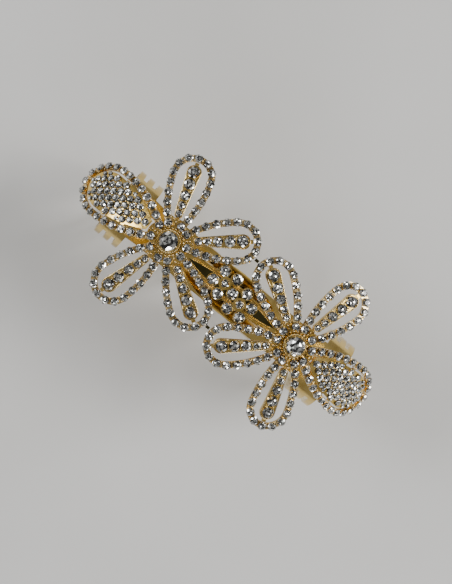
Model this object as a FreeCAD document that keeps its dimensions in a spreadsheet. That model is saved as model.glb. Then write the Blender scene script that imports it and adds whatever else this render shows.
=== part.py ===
import FreeCAD, Part
import os
import math
import Sketcher

from FreeCAD import Placement, Rotation, Vector

# Rhinestone hair clip: a spring-loaded metal claw clip with a jewelled top.
# Frame: +X along the clip, +Z up, origin under its middle at the claw tips.
# Two five-petal flowers, one the half-turn copy of the other, sit on a front
# jaw; the rear jaw swings open about a pin that lies along X.

doc = FreeCAD.newDocument("hair_clip")
sheet = doc.addObject("Spreadsheet::Sheet", "Sizes")

# Driving dimensions in millimetres and degrees.
DIMENSIONS = [
    ("claw_depth", 33.0, "height of the hinge pin above the claw tips"),
    ("crown_lift", 12.0, "height of the flower hubs above the hinge pin"),
    ("hub_reach", 23.75, "distance of each flower hub from the middle"),
    ("hub_lean", 10.0, "outward lean of each flower"),
    ("strip", 2.5, "width of the cup chain's gold strip"),
    ("sheet_wall", 1.0, "thickness of the frames in the flowers"),
    ("root_x", 5.1, "distance of a petal's root stones along the petal"),
    ("root_y", 1.96, "half spacing of a petal's two root stones"),
    ("petal_half", 5.66, "half width of an open petal's stone line"),
    ("petal_tip", 25.7, "reach of an open petal's stone line"),
    ("petal_dome", 150.0, "dome radius of the open petals"),
    ("pave_half", 7.7, "half width of the wide petal's stone line"),
    ("pave_tip", 32.2, "reach of the wide petal's stone line"),
    ("pave_nose", 8.0, "length of the wide petal's rounded end"),
    ("pave_dome", 43.0, "dome radius of the wide petal"),
    ("pave_rise", 0.6, "lift of the wide petal over the hub plate"),
    ("pave_gap", 0.45, "slit between the paved plate and its chain"),
    ("drop_small", 1.3, "radius of an inner drop at its root"),
    ("drop_large", 2.25, "radius of an inner drop at its end"),
    ("drop_root", 8.5, "centre of the drop's small end"),
    ("drop_end", 21.4, "centre of the drop's large end"),
    ("hub_plate", 7.4, "radius of the plate under each flower"),
    ("hub_wall", 0.8, "thickness of that plate"),
    ("bezel_out", 3.6, "outside radius of the centre stone's bezel"),
    ("bezel_in", 2.3, "bore radius of that bezel"),
    ("bezel_top", 0.55, "top of the bezel above the petal frames"),
    ("chain_stone", 1.3, "girdle radius of a chain stone"),
    ("pave_stone", 1.12, "girdle radius of a paving stone"),
    ("pave_filler", 0.75, "girdle radius of the small stones along the plate's edge"),
    ("centre_stone", 2.95, "girdle radius of a flower's centre stone"),
    ("cluster_stone", 1.74, "girdle radius of the middle cluster's stones"),
    ("seat_gap", 0.01, "glue line under every stone"),
    ("cluster_reach", 3.7, "radius of each rosette's ring of stones"),
    ("cluster_cup", 1.9, "radius of a cup in the middle cluster"),
    ("lens_half", 1.8, "half width of the lens slit in the spine"),
    ("lens_end", 16.3, "half length of the lens slit"),
    ("rail", 1.3, "width of a spine rail"),
    ("spine_end", 19.0, "half length of the spine"),
    ("spine_arch", 106.0, "arch radius of the spine"),
    ("slit_plate", 0.4, "thickness of the polished plate under the slit"),
    ("metal", 0.9, "thickness of the jaw sheet"),
    ("jaw_half", 41.8, "half length of a jaw's top strip"),
    ("waist", 2.2, "distance of a jaw's top strip from the hinge plane"),
    ("shoulder", 9.5, "radius of the end claws' shoulder"),
    ("shoulder_y", 1.5, "centre of that shoulder across the clip"),
    ("shoulder_z", -11.5, "centre of that shoulder below the pin"),
    ("claw_sweep", 28.4, "radius of the end claws below the shoulder"),
    ("inner_sweep", 52.55, "radius of the inner claws"),
    ("inner_bulge", 6.8, "reach of the inner claws across the clip"),
    ("inner_top", 9.18, "radius of the inner claws' upper bend"),
    ("lever_half", 16.5, "half length of a finger lever"),
    ("lever_reach", 6.8, "reach of a finger lever across the clip"),
    ("lever_sweep", 12.0, "bend radius of a finger lever"),
    ("pin_radius", 0.8, "radius of the hinge pin"),
    ("pin_half", 9.6, "half length of the hinge pin"),
    ("pin_head", 1.45, "radius of the pin's peened heads"),
    ("knuckle", 2.0, "outside radius of a hinge knuckle"),
    ("knuckle_wall", 1.3, "thickness of a hinge knuckle"),
    ("running_gap", 0.05, "radial clearance of the moving knuckles"),
    ("coil_radius", 1.75, "mean radius of the torsion spring's coil"),
    ("coil_wire", 0.4, "radius of the spring wire"),
    ("coil_pitch", 0.9, "pitch of the coil"),
    ("coil_length", 7.2, "length of the coil"),
]
for row, (alias, number, note) in enumerate(DIMENSIONS, start=1):
    sheet.set("A%d" % row, alias)
    sheet.set("B%d" % row, repr(number))
    sheet.set("C%d" % row, note)
    sheet.setAlias("B%d" % row, alias)
doc.recompute()

X_AXIS = Vector(1, 0, 0)
Y_AXIS = Vector(0, 1, 0)
Z_AXIS = Vector(0, 0, 1)
PETAL_ANGLES = [0.0, 74.7, 146.6, 219.5, 290.0]
DROP_STONES = [(8.6, 1.05), (11.1, 1.25), (14.2, 1.55), (17.65, 1.7), (21.3, 1.8)]
OPEN_PETAL_STONES = 17
WIDE_PETAL_STONES = 24
PAVE_BARS = (13.5, 20.5)
PAVE_BAR_WIDTH = 1.0
PAVE_START = 9.0
PAVE_SPACING = 0.16
FILLER_GAP = 0.08
ROSETTE_TURN = 164.0
CUP_HEIGHT = 1.0
SPINE_DROP = 0.53
LINK_WIDTH = 0.9
LINK_HEIGHT = 0.7

# Side view of the jaws, measured from the hinge pin.
END_CLAW = (33.4, 41.8)
INNER_CLAW = (8.0, 14.6)
CLAW_SLOT = 1.4
END_SLOT_TOP = -5.5
INNER_SLOT_TOP = -19.5
SIDE_TAPER_TOP = -18.5
TOOTH_TAPER = 0.35
TOOTH_POINT = 0.55
BRACKET_HALF = 2.0
BRACKET_FRONT = -3.6
BRACKET_REAR = 2.6
BRACKET_SHEET = 0.9
SPRING_LEAN = 18.0
SPRING_LEG = 5.9
COIL_START = -4.4
REAR_KNUCKLES = (5.3, -6.6)
FRONT_KNUCKLES = (7.0, -8.3)
PIN_SHOULDER = 8.6
STRIP_TOP = -1.0
STRIP_MIDDLE = (30.0, -3.1)
STRIP_END_LOW = -3.8
JAW_REACH = 14.0
INNER_BEND_Z = -9.0
INNER_BEND_SWEEP = 46.0
LEVER_HEAD_Z = 7.0
LEVER_FOOT_OUT = 0.7

# Depths of the tall blanks that the domes and the arch are cut from.
OPEN_BLANK = 7.0
WIDE_BLANK = 20.0
BLANK_ABOVE = 2.0
ROOT_OVERHANG = 0.9
DROP_TAB_HALF = 0.6
SPINE_WINDOW = 16.0
ARCH_SWEEP = 30.0
nodes = []


def size(alias):
    """Number held by the sheet under an alias."""
    return float(sheet.get(alias))


def bind(thing, **formulas):
    """Bind properties to sheet formulas; a bare word names a cell."""
    for name, formula in formulas.items():
        thing.setExpression(name.replace("__", "."), formula)
    return thing


def place(thing, spot, axis=Z_AXIS, angle=0.0):
    """Set a placement from a point and a turn."""
    thing.Placement = Placement(Vector(*spot), Rotation(axis, angle))
    return thing


def boolean(kind, name, first, second):
    """Cut or Common of two objects."""
    result = doc.addObject("Part::" + kind, name)
    result.Base = first
    result.Tool = second
    return result


def fuse(name, pieces):
    """Fusion of several objects."""
    result = doc.addObject("Part::MultiFuse", name)
    result.Shapes = pieces
    result.Refine = True
    return result


def box(name, low, high):
    """Box between two corners."""
    block = doc.addObject("Part::Box", name)
    block.Length = high[0] - low[0]
    block.Width = high[1] - low[1]
    block.Height = high[2] - low[2]
    return place(block, low)


def cylinder(name, radius, height, angle="360 deg"):
    """Cylinder with bound sizes."""
    rod = doc.addObject("Part::Cylinder", name)
    return bind(rod, Radius=radius, Height=height, Angle=angle)


def ring_sector(name, radius, wall, height, sweep):
    """Bent strip: a sector between two bound radii, starting on local X."""
    outer = cylinder(name + "_outer", "(%s) + (%s) / 2" % (radius, wall), height, sweep)
    inner = cylinder(name + "_inner", "(%s) - (%s) / 2" % (radius, wall), height)
    return boolean("Cut", name, outer, inner)


def sketch_body(name, plane="XY_Plane"):
    """Body with one sketch on an origin plane."""
    body = doc.addObject("PartDesign::Body", name)
    sketch = body.newObject("Sketcher::SketchObject", name + "_sketch")
    support = [f for f in body.Origin.OriginFeatures if f.Role == plane][0]
    sketch.AttachmentSupport = (support, "")
    sketch.MapMode = "FlatFace"
    return body, sketch


def polygon(sketch, corners):
    """Closed outline whose corners are bound to pairs of sheet formulas."""
    count = len(corners)
    values = []
    for pair in corners:
        values.append([number_of(formula) for formula in pair])
    for i in range(count):
        start = Vector(values[i][0], values[i][1], 0)
        end = Vector(values[(i + 1) % count][0], values[(i + 1) % count][1], 0)
        sketch.addGeometry(Part.LineSegment(start, end), False)
    for i in range(count):
        sketch.addConstraint(Sketcher.Constraint("Coincident", i, 2, (i + 1) % count, 1))
    for i, (across, up) in enumerate(corners):
        for kind, formula, value in (("DistanceX", across, values[i][0]),
                                     ("DistanceY", up, values[i][1])):
            if value == 0.0:
                other = -2 if kind == "DistanceX" else -1
                sketch.addConstraint(Sketcher.Constraint("PointOnObject", i, 1, other))
                continue
            index = sketch.addConstraint(Sketcher.Constraint(kind, -1, 1, i, 1, value))
            sketch.setExpression("Constraints[%d]" % index, formula)


def number_of(formula):
    """Value of a sheet formula such as 'Sizes.rail * 2'."""
    names = {alias: size(alias) for alias, _, _ in DIMENSIONS}
    total = 0.0
    for term in formula.replace("- ", "+ -").split("+"):
        product = 1.0
        for factor in term.split("*"):
            word = factor.strip()
            sign = -1.0 if word.startswith("-") else 1.0
            word = word.lstrip("-").strip()
            product *= sign * (names[word[6:]] if word.startswith("Sizes.") else float(word))
        total += product
    return total


def keep(thing, name, shift=None):
    """Register a finished sub-part under its node name."""
    thing.Label = name
    if shift is not None:
        thing.Placement = shift.multiply(thing.Placement)
    nodes.append((name, thing))
    return thing


def feature(name, shape, shift):
    """Sub-part whose shape is worked out here."""
    thing = doc.addObject("Part::Feature", name)
    thing.Shape = shape
    thing.Placement = shift
    thing.Label = name
    nodes.append((name, thing))
    return thing


# ---------------------------------------------------------------- petals

def side_radius(half, tip_length, tip):
    """Radius of a petal's side, tangent to its rounded end."""
    run = tip - tip_length - size("root_x")
    rise = half - size("root_y")
    return (run * run + rise * rise) / (2.0 * rise)


def petal_line(half, nose, tip, dome, rise, count):
    """Stone seats along a petal: (point, normal) at equal steps."""
    bend = side_radius(half, nose, tip)
    middle = tip - nose
    flat = []
    for i in range(61):
        x = size("root_x") + (middle - size("root_x")) * i / 60.0
        flat.append((x, half - bend + math.sqrt(bend ** 2 - (middle - x) ** 2)))
    for i in range(1, 91):
        turn = math.radians(i)
        flat.append((middle + nose * math.sin(turn), half * math.cos(turn)))
    flat += [(x, -y) for x, y in reversed(flat[:-1])]
    points = [dome_point(x, y, dome, rise) for x, y in flat]
    lengths = [0.0]
    for a, b in zip(points, points[1:]):
        lengths.append(lengths[-1] + a.distanceToPoint(b))
    seats = []
    for k in range(count):
        goal = lengths[-1] * k / (count - 1)
        j = max(i for i in range(len(points) - 1) if lengths[i] <= goal + 1e-9)
        part = (goal - lengths[j]) / (lengths[j + 1] - lengths[j])
        spot = points[j] + (points[j + 1] - points[j]) * part
        seats.append((spot, dome_normal(spot, dome, rise)))
    return seats


def dome_point(x, y, dome, rise=0.0):
    """Point of a dome above plan position x, y."""
    return Vector(x, y, rise - dome + math.sqrt(dome ** 2 - x * x - y * y))


def dome_normal(spot, dome, rise=0.0):
    """Outward normal of a dome."""
    return (spot - Vector(0, 0, rise - dome)).normalize()


def dome_shell(name, dome, rise, wall):
    """Thin shell of a dome whose top passes over the hub."""
    outer = doc.addObject("Part::Sphere", name + "_outer")
    bind(outer, Radius=dome)
    bind(outer, **{"Placement__Base__z": "(%s) - (%s)" % (rise, dome)})
    inner = doc.addObject("Part::Sphere", name + "_inner")
    bind(inner, Radius="(%s) - (%s)" % (dome, wall))
    bind(inner, **{"Placement__Base__z": "(%s) - (%s)" % (rise, dome)})
    return boolean("Cut", name, outer, inner)


def side_strips(name, half, nose, tip, wall, depth):
    """The two bent sides of a petal outline, as tall strips."""
    bend = side_radius(half, nose, tip)
    middle = tip - nose
    sweep = math.degrees(math.asin((middle - size("root_x") + ROOT_OVERHANG) / bend))
    strips = []
    for sign in (1, -1):
        strip = ring_sector("%s_side_%s" % (name, "left" if sign > 0 else "right"),
                            "%.6f" % bend, wall, "%g mm" % (depth + BLANK_ABOVE),
                            "%.6f deg" % sweep)
        start = 90.0 if sign > 0 else 270.0 - sweep
        place(strip, (middle, sign * (half - bend), -depth), Z_AXIS, start)
        strips.append(strip)
    return strips


def open_petal_blank():
    """Tall blank of an open petal's chain: two sides and a round end."""
    half, tip = size("petal_half"), size("petal_tip")
    depth = OPEN_BLANK
    strips = side_strips("open_petal", half, half, tip, "Sizes.strip", depth)
    end = ring_sector("open_petal_end", "Sizes.petal_half", "Sizes.strip",
                      "%g mm" % (depth + BLANK_ABOVE), "180 deg")
    place(end, (tip - half, 0, -depth), Z_AXIS, -90.0)
    return fuse("open_petal_blank", strips + [end])


def half_oval(name, middle, nose, half, depth):
    """Tall solid half of an oval, rounded toward the petal's tip."""
    oval = doc.addObject("Part::Ellipse", name + "_edge")
    flat = half > nose
    oval.MajorRadius = max(half, nose)
    oval.MinorRadius = min(half, nose)
    place(oval, (middle, 0, -depth), Z_AXIS, 90.0 if flat else 0.0)
    prism = doc.addObject("Part::Extrusion", name + "_prism")
    prism.Base = oval
    prism.DirMode = "Custom"
    prism.Dir = Z_AXIS
    prism.LengthFwd = depth + BLANK_ABOVE
    prism.Solid = True
    far_corner = (middle + nose + 2, half + 2, BLANK_ABOVE + 1)
    window = box(name + "_window", (middle, -half - 2, -depth - 1), far_corner)
    return boolean("Common", name, prism, window)


def wide_petal_blank():
    """Tall blank of the wide petal's chain."""
    half, tip, nose = size("pave_half"), size("pave_tip"), size("pave_nose")
    wall = size("strip") / 2
    depth = WIDE_BLANK
    slope = math.sqrt(1 - (tip / size("pave_dome")) ** 2)
    strips = side_strips("wide_petal", half, nose, tip, "Sizes.strip", depth)
    outer = half_oval("wide_end_outer", tip - nose, nose + wall * slope, half + wall, depth)
    inner = half_oval("wide_end_inner", tip - nose, nose - wall * slope, half - wall, depth)
    end = boolean("Cut", "wide_petal_end", outer, inner)
    return fuse("wide_petal_blank", strips + [end])


def drop_blank():
    """Tall blank of an inner drop, with its tab toward the petal's tip."""
    body, sketch = sketch_body("drop_outline")
    small, large = size("drop_small"), size("drop_large")
    near, far = size("drop_root"), size("drop_end")
    lean = math.acos((small - large) / (far - near))
    ends = []
    for centre, radius in ((near, small), (far, large)):
        touch = Vector(centre + radius * math.cos(lean), radius * math.sin(lean), 0)
        ends.append((centre, radius, touch))
    circle = Part.Circle(Vector(near, 0, 0), Z_AXIS, small)
    sketch.addGeometry(Part.ArcOfCircle(circle, lean, 2 * math.pi - lean), False)
    circle = Part.Circle(Vector(far, 0, 0), Z_AXIS, large)
    sketch.addGeometry(Part.ArcOfCircle(circle, -lean, lean), False)
    upper = Part.LineSegment(ends[0][2], ends[1][2])
    lower = Part.LineSegment(Vector(ends[1][2].x, -ends[1][2].y, 0),
                             Vector(ends[0][2].x, -ends[0][2].y, 0))
    sketch.addGeometry(upper, False)
    sketch.addGeometry(lower, False)
    for first, end, second, start in ((0, 1, 2, 1), (2, 2, 1, 2), (1, 1, 3, 1), (3, 2, 0, 2)):
        sketch.addConstraint(Sketcher.Constraint("Tangent", first, end, second, start))
    for arc, radius, centre in ((0, "drop_small", "drop_root"), (1, "drop_large", "drop_end")):
        sketch.addConstraint(Sketcher.Constraint("PointOnObject", arc, 3, -1))
        index = sketch.addConstraint(Sketcher.Constraint("Radius", arc, size(radius)))
        sketch.setExpression("Constraints[%d]" % index, "Sizes." + radius)
        index = sketch.addConstraint(
            Sketcher.Constraint("DistanceX", -1, 1, arc, 3, size(centre)))
        sketch.setExpression("Constraints[%d]" % index, "Sizes." + centre)
    pad = body.newObject("PartDesign::Pad", "drop_pad")
    pad.Profile = sketch
    pad.Length = OPEN_BLANK + BLANK_ABOVE
    body.Tip = pad
    place(body, (0, 0, -OPEN_BLANK))
    tab_end = size("petal_tip") - size("strip") / 2 - 0.1
    tab = box("drop_tab", (far, -DROP_TAB_HALF, -OPEN_BLANK),
              (tab_end, DROP_TAB_HALF, BLANK_ABOVE))
    return fuse("drop_blank", [body, tab])


def paved_blank(chain):
    """Tall blank of the paved plate: inside the chain, with bars to it."""
    half, tip, nose = size("pave_half"), size("pave_tip"), size("pave_nose")
    inset = size("strip") / 2 + size("pave_gap")
    bend = side_radius(half, nose, tip)
    middle = tip - nose
    depth = WIDE_BLANK
    lobes = []
    for sign in (1, -1):
        lobe = cylinder("paved_lobe_%s" % ("left" if sign > 0 else "right"),
                        "%.6f" % (bend - inset), "%g mm" % (depth + BLANK_ABOVE))
        lobes.append(place(lobe, (middle, sign * (half - bend), -depth)))
    lens = boolean("Common", "paved_lens", lobes[0], lobes[1])
    window = box("paved_window", (size("drop_root") - 1.0, -9, -depth - 1), (middle, 9, 3))
    sides = boolean("Common", "paved_sides", lens, window)
    end = half_oval("paved_end", middle, nose - inset * 0.85, half - inset, depth)
    bars = []
    for reach in PAVE_BARS:
        span = half - bend + math.sqrt(bend ** 2 - (middle - reach) ** 2)
        far_corner = (reach + PAVE_BAR_WIDTH, span, BLANK_ABOVE)
        bars.append(box("paved_bar_%d" % reach, (reach, -span, -depth), far_corner))
    blank = fuse("paved_plate_and_bars", [sides, end] + bars)
    return boolean("Cut", "paved_blank", blank, chain)


# ---------------------------------------------------------------- stones

def stone_master():
    """Flat-backed faceted stone of girdle radius 1, as a solid of revolution."""
    body, sketch = sketch_body("stone_master", "XZ_Plane")
    polygon(sketch, [("0", "0"), ("0.76", "0"), ("1", "0.32"), ("1", "0.38"),
                     ("0.56", "0.72"), ("0", "0.72")])
    turned = body.newObject("PartDesign::Revolution", "stone_turn")
    turned.Profile = sketch
    turned.ReferenceAxis = (sketch, ["V_Axis"])
    turned.Angle = 360.0
    body.Tip = turned
    doc.recompute()
    return body.Shape


def set_stones(master, seats):
    """Copies of the stone at (point, normal, radius)."""
    stones = []
    for spot, normal, radius in seats:
        stone = master.copy()
        stone.scale(radius)
        lift = normal * size("seat_gap")
        stone.Placement = Placement(spot + lift, Rotation(Z_AXIS, normal))
        stones.append(stone)
    return Part.makeCompound(stones)


def paving_seats():
    """Paving stones in rows across the wide petal's plate."""
    half, tip, nose = size("pave_half"), size("pave_tip"), size("pave_nose")
    dome, rise = size("pave_dome"), size("pave_rise")
    inset = size("strip") / 2 + size("pave_gap") + 0.9 * size("pave_stone")
    bend = side_radius(half, nose, tip)
    middle = tip - nose
    seats = []
    pitch = 2 * size("pave_stone") + PAVE_SPACING
    row_step = pitch * 0.866
    arc = PAVE_START
    row = 0
    while True:
        x = dome * math.sin(arc / dome)
        if x > tip - inset * 0.9:
            break
        if x < middle:
            room = half - bend + math.sqrt((bend - inset) ** 2 - (middle - x) ** 2)
        else:
            share = (x - middle) / (nose - inset * 0.8)
            room = (half - inset) * math.sqrt(max(0.0, 1 - share ** 2))
        if room >= 0.0:
            offset = 0.5 * pitch * (row % 2)
            steps = int((room + 0.12 - offset) / pitch)
            lateral = [offset + pitch * i for i in range(steps + 1)]
            lateral += [-y for y in lateral if y > 0]
            if room + 0.12 < offset:
                lateral = []
            for y in lateral:
                spot = dome_point(x, y, dome, rise)
                seats.append((spot, dome_normal(spot, dome, rise), size("pave_stone")))
        arc += row_step
        row += 1
    return seats + edge_fillers(seats)


def edge_fillers(seats):
    """Small stones along the paved plate's edge, where the rows leave room."""
    half, tip, nose = size("pave_half"), size("pave_tip"), size("pave_nose")
    dome, rise = size("pave_dome"), size("pave_rise")
    radius = size("pave_filler")
    inset = size("strip") / 2 + size("pave_gap") + 0.9 * radius
    bend = side_radius(half, nose, tip)
    middle = tip - nose
    edge = []
    for i in range(120):
        x = PAVE_START + (middle - PAVE_START) * i / 120.0
        edge.append((x, half - bend + math.sqrt((bend - inset) ** 2 - (middle - x) ** 2)))
    for i in range(91):
        turn = math.radians(i)
        edge.append((middle + (nose - inset * 0.85) * math.sin(turn),
                     (half - inset) * math.cos(turn)))
    fillers = []
    for x, y in edge:
        for across in (y, -y):
            spot = dome_point(x, across, dome, rise)
            taken = [spot.distanceToPoint(other) < radius + wide + FILLER_GAP
                     for other, _, wide in seats + fillers]
            if not any(taken):
                fillers.append((spot, dome_normal(spot, dome, rise), radius))
    return fillers


# ---------------------------------------------------------------- flowers

def hub_place(side):
    """Frame of one flower: at its hub, leaning outward."""
    lean = Rotation(Y_AXIS, size("hub_lean"))
    height = size("claw_depth") + size("crown_lift")
    right = Placement(Vector(size("hub_reach"), 0, height), lean)
    if side == "right":
        return right
    return Placement(Vector(0, 0, 0), Rotation(Z_AXIS, 180.0)).multiply(right)


def petal_place(side, angle):
    """Frame of one petal, its length along local X."""
    return hub_place(side).multiply(Placement(Vector(0, 0, 0), Rotation(Z_AXIS, angle)))


def hub_body(side):
    """Thin plate that carries the petals' roots."""
    plate = cylinder("%s_hub_disc" % side, "Sizes.hub_plate", "6 mm")
    place(plate, (0, 0, -5.0))
    node = boolean("Common", "%s_hub_plate" % side, plate, hub_shell)
    return keep(node, "%s_hub_plate" % side, hub_place(side))


def bezel_body(side):
    """Turned cup that holds the centre stone, with a milled lip."""
    body, sketch = sketch_body("%s_bezel" % side, "XZ_Plane")
    foot = "-1 * Sizes.sheet_wall - Sizes.seat_gap"
    polygon(sketch, [("Sizes.bezel_in", foot), ("Sizes.bezel_out", foot),
                     ("Sizes.bezel_out", "Sizes.bezel_top"), ("Sizes.bezel_in", "Sizes.bezel_top")])
    turned = body.newObject("PartDesign::Revolution", "%s_bezel_turn" % side)
    turned.Profile = sketch
    turned.ReferenceAxis = (sketch, ["V_Axis"])
    turned.Angle = 360.0
    body.Tip = turned
    return keep(body, "%s_centre_bezel" % side, hub_place(side))


def flower(side, master):
    """All the pieces of one flower."""
    hub_body(side)
    bezel_body(side)
    seat = (Vector(0, 0, size("bezel_top")), Z_AXIS, size("centre_stone"))
    feature("%s_centre_stone" % side, set_stones(master, [seat]), hub_place(side))
    for number, angle in enumerate(PETAL_ANGLES, start=1):
        shift = petal_place(side, angle)
        label = "%s_petal_%d" % (side, number)
        if number == 1:
            chain = boolean("Common", label + "_frame", wide_blank, wide_shell)
            seats = petal_line(size("pave_half"), size("pave_nose"), size("pave_tip"),
                               size("pave_dome"), size("pave_rise"), WIDE_PETAL_STONES)
            plate = boolean("Common", "%s_paved_plate" % side, pave_plate_blank, wide_shell)
            keep(plate, "%s_paved_plate" % side, shift)
            feature("%s_paving_stones" % side, set_stones(master, paving_seats()), shift)
        else:
            chain = boolean("Common", label + "_frame", open_blank, open_shell)
            seats = petal_line(size("petal_half"), size("petal_half"), size("petal_tip"),
                               size("petal_dome"), 0.0, OPEN_PETAL_STONES)
            drop = boolean("Common", label + "_drop", drop_shape, open_shell)
            keep(drop, label + "_drop", shift)
            row = []
            for reach, radius in DROP_STONES:
                spot = dome_point(reach, 0, size("petal_dome"))
                row.append((spot, dome_normal(spot, size("petal_dome")), radius))
            feature(label + "_drop_stones", set_stones(master, row), shift)
        keep(chain, label + "_frame", shift)
        row = [(spot, normal, size("chain_stone")) for spot, normal in seats]
        feature(label + "_stones", set_stones(master, row), shift)


# ---------------------------------------------------------------- middle

def lens_prism(name, half_length, half_width):
    """Tall lens: the overlap of two large cylinders."""
    bend = (half_length ** 2 + half_width ** 2) / (2.0 * half_width)
    lobes = []
    for sign in (1, -1):
        lobe = cylinder("%s_lobe_%s" % (name, "front" if sign > 0 else "rear"),
                        "%.6f" % bend, "12 mm")
        place(lobe, (0, sign * (bend - half_width), -SPINE_WINDOW / 2))
        lobes.append(lobe)
    return boolean("Common", name, lobes[0], lobes[1])


def spine(crown):
    """Arched spine between the hubs: two bowed rails round a lens slit."""
    outside = lens_prism("spine_outside", size("spine_end") + 3.5,
                         size("lens_half") + size("rail"))
    slit = lens_prism("spine_slit", size("lens_end"), size("lens_half"))
    rails = boolean("Cut", "spine_rails", outside, slit)
    length = box("spine_length", (-size("spine_end"), -6, -9), (size("spine_end"), 6, 5))
    trimmed = boolean("Common", "spine_trimmed", rails, length)
    radius = "Sizes.spine_arch - Sizes.sheet_wall / 2"
    arch = arch_shell("spine_arch_shell", radius, "Sizes.sheet_wall")
    node = boolean("Common", "spine_frame", trimmed, arch)
    keep(node, "spine_frame", Placement(Vector(0, 0, crown), Rotation()))
    slit_floor(crown)


def arch_shell(name, radius, wall):
    """Sheet arched along the clip, its top at the origin."""
    arch = ring_sector(name, radius, wall, "%g mm" % SPINE_WINDOW, "%g deg" % ARCH_SWEEP)
    place(arch, (0, SPINE_WINDOW / 2, -size("spine_arch")), X_AXIS, 90.0)
    start = Rotation(Z_AXIS, 90.0 - ARCH_SWEEP / 2)
    arch.Placement = arch.Placement.multiply(Placement(Vector(0, 0, 0), start))
    return arch


def slit_floor(crown):
    """Polished plate that closes the lens slit from below."""
    lens = lens_prism("slit_floor_lens", size("lens_end"), size("lens_half") + size("rail") / 2)
    radius = "Sizes.spine_arch - Sizes.sheet_wall - Sizes.seat_gap - Sizes.slit_plate / 2"
    arch = arch_shell("slit_floor_shell", radius, "Sizes.slit_plate")
    node = boolean("Common", "slit_plate", lens, arch)
    keep(node, "slit_plate", Placement(Vector(0, 0, crown), Rotation()))


def cluster_spots():
    """Stone centres of two rosettes that share the middle stone."""
    spots = [(0.0, 0.0, size("cluster_stone"))]
    reach = size("cluster_reach")
    for sign in (1, -1):
        lean = math.radians(ROSETTE_TURN)
        centre = (-sign * reach * math.cos(lean), -sign * reach * math.sin(lean))
        spots.append((centre[0], centre[1], size("chain_stone")))
        for k in range(1, 5):
            turn = lean + math.radians(72.0 * k)
            spots.append((centre[0] + sign * reach * math.cos(turn),
                          centre[1] + sign * reach * math.sin(turn), size("cluster_stone")))
    return spots


def cluster(master, crown):
    """Cups and stones of the middle cluster."""
    cups = []
    for index, (x, y, _) in enumerate(cluster_spots()):
        cup = cylinder("cluster_cup_%d" % (index + 1), "Sizes.cluster_cup", "%g mm" % CUP_HEIGHT)
        cups.append(place(cup, (x, y, 0.0)))
    joined = fuse("cluster_joined", cups)
    joined.Placement = Placement(Vector(0, 0, crown), Rotation())
    for side in ("left", "right"):
        frame = doc.getObject("%s_petal_4_frame" % side)
        joined = boolean("Cut", "cluster_clear_%s" % side, joined, frame)
    keep(joined, "cluster_cups")
    seats = [(Vector(x, y, CUP_HEIGHT), Z_AXIS, radius) for x, y, radius in cluster_spots()]
    feature("cluster_stones", set_stones(master, seats),
            Placement(Vector(0, 0, crown), Rotation()))


def link_bar(name, side):
    """Flat bar between the tips of two facing petals of the two flowers."""
    own = petal_place(side, PETAL_ANGLES[2])
    other = petal_place("left" if side == "right" else "right", PETAL_ANGLES[3])
    tips = []
    for shift, others in ((own, other), (other, own)):
        best = None
        for turn in range(-80, 81, 2):
            reach = size("petal_half") + size("strip") / 2 + 0.05
            centre = size("petal_tip") - size("petal_half")
            x = centre + reach * math.cos(math.radians(turn))
            y = reach * math.sin(math.radians(turn))
            spot = shift.multVec(dome_point(x, y, size("petal_dome")) - Vector(0, 0, 0.5))
            goal = others.multVec(dome_point(centre, 0, size("petal_dome")))
            gap = spot.distanceToPoint(goal)
            if best is None or gap < best[0]:
                best = (gap, spot)
        tips.append(best[1])
    run = tips[1] - tips[0]
    bar = doc.addObject("Part::Box", name)
    bar.Length = run.Length
    bar.Width = LINK_WIDTH
    bar.Height = LINK_HEIGHT
    frame = Rotation(run, Vector(0, 0, 0), Z_AXIS, "XZY")
    corner = tips[0] + frame.multVec(Vector(0, -LINK_WIDTH / 2, -LINK_HEIGHT / 2))
    bar.Placement = Placement(corner, frame)
    keep(bar, name)


# ---------------------------------------------------------------- jaws

def sheet_sector(name, radius, length, centre, start, sweep, low):
    """Bent jaw sheet about an axis along X, from angle start by sweep in YZ."""
    sector = ring_sector(name, radius, "Sizes.metal", "%g mm" % length, "%.5f deg" % sweep)
    turn = Rotation(Vector(0, 1, 0), Vector(0, 0, 1), Vector(1, 0, 0), "ZXY")
    base = Placement(Vector(low, centre[0], centre[1]), turn)
    sector.Placement = base.multiply(Placement(Vector(0, 0, 0), Rotation(Z_AXIS, start)))
    return sector


def xz_prism(name, corners, low, high):
    """Prism across the clip whose side view is bound to the sheet."""
    body, sketch = sketch_body(name, "XZ_Plane")
    polygon(sketch, corners)
    pad = body.newObject("PartDesign::Pad", name + "_pad")
    pad.Profile = sketch
    pad.Length = high - low
    body.Tip = pad
    doc.recompute()
    shift = low - body.Shape.BoundBox.YMin
    body.Placement = Placement(Vector(0, shift, 0), Rotation())
    return body


def claw_view(name, sign, edges, slot_top, count):
    """Side view of one claw, from the strip down to its tapered teeth."""
    left, right = edges
    tip = -size("claw_depth")
    pitch = (right - left + CLAW_SLOT) / count
    half = (pitch - CLAW_SLOT) / 2
    corners = [(left, -2.0)]
    for k in range(count):
        centre = left + half + pitch * k
        corners.append((centre - half, slot_top if k else SIDE_TAPER_TOP))
        corners.append((centre - half + TOOTH_TAPER, tip + 2.0))
        corners.append((centre - half + TOOTH_POINT, tip))
        corners.append((centre + half - TOOTH_POINT, tip))
        corners.append((centre + half - TOOTH_TAPER, tip + 2.0))
        corners.append((centre + half, slot_top if k < count - 1 else SIDE_TAPER_TOP))
    corners.append((right, -2.0))
    corners = [("%.4f" % (sign * x), "%.4f" % z) for x, z in corners]
    return xz_prism(name, corners, -1.0, JAW_REACH)


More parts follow.
